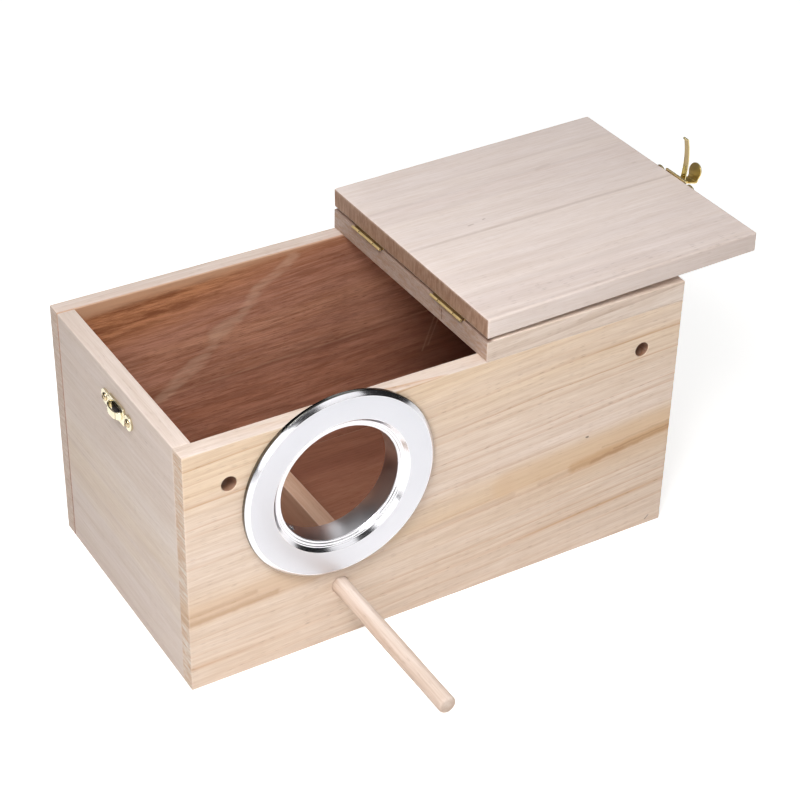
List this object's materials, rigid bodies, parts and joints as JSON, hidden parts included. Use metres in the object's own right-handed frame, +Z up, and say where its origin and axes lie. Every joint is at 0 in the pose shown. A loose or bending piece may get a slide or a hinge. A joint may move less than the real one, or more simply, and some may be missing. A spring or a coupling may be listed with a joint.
{
  "type": "bird breeding box",
  "caption": "Wooden bird breeding box with a round metal entrance, a dowel perch, an inner divider and a hinged lid over the entrance end with a small hook latch.",
  "frame": {"origin": "centre of the box's underside, on the surface that it stands on", "axes": "+X along the box's length towards the fixed roof, +Y from the entrance side to the back, +Z up"},
  "size_m": [0.3678, 0.2675, 0.1999],
  "materials": {
    "pale_wood": "bare, planed, fine straight grain",
    "lid_wood": "bare, planed, greyish pink",
    "perch_wood": "bare, turned",
    "aluminium": "turned, satin land and bright bevels",
    "steel": "bright plated",
    "brass": "bright plated"
  },
  "bodies": {
    "carcass": {"front_panel": "pale_wood", "back_panel": "pale_wood", "left_panel": "pale_wood", "right_panel": "pale_wood", "floor_panel": "pale_wood", "nest_divider": "pale_wood", "fixed_roof": "lid_wood", "perch": "perch_wood", "entrance_ring": "aluminium", "ring_screw_lower": "steel", "ring_screw_upper": "steel", "hinge_front_roof_leaf": "brass", "hinge_front_roof_screw_front": "brass", "hinge_front_roof_screw_rear": "brass", "hinge_front_pin": "brass", "hinge_rear_roof_leaf": "brass", "hinge_rear_roof_screw_front": "brass", "hinge_rear_roof_screw_rear": "brass", "hinge_rear_pin": "brass", "keeper": "brass", "keeper_screw_front": "brass", "keeper_screw_rear": "brass"},
    "lid": {"lid": "lid_wood", "hinge_front_lid_leaf": "brass", "hinge_front_lid_screw_front": "brass", "hinge_front_lid_screw_rear": "brass", "hinge_rear_lid_leaf": "brass", "hinge_rear_lid_screw_front": "brass", "hinge_rear_lid_screw_rear": "brass", "latch_base": "brass", "latch_base_screw_front": "brass", "latch_base_screw_rear": "brass", "lever_rivet_front": "brass", "lever_rivet_rear": "brass"},
    "lever": {"latch_lever": "brass", "hook_pin": "brass"},
    "hook": {"latch_hook": "brass"}
  },
  "joints": [
    {"name": "lid_hinge", "type": "hinge", "parent": "carcass", "child": "lid", "pos_m": [0.0221, 0, 0.1608], "axis": [0, -1, 0], "range_deg": [0, 178.75]},
    {"name": "latch_lever_pivot", "type": "hinge", "parent": "lid", "child": "lever", "pos_m": [0.19967, -0.006, 0.17348], "axis": [0, 1, 0], "range_deg": [-35, 75]},
    {"name": "latch_hook_pivot", "type": "hinge", "parent": "lever", "child": "hook", "pos_m": [0.20251, -0.006, 0.17247], "axis": [0, 1, 0], "range_deg": [-85, 45]}
  ],
  "couplings": [
    {"joint": "latch_hook_pivot", "follows": "latch_lever_pivot", "ratio": -1}
  ]
}
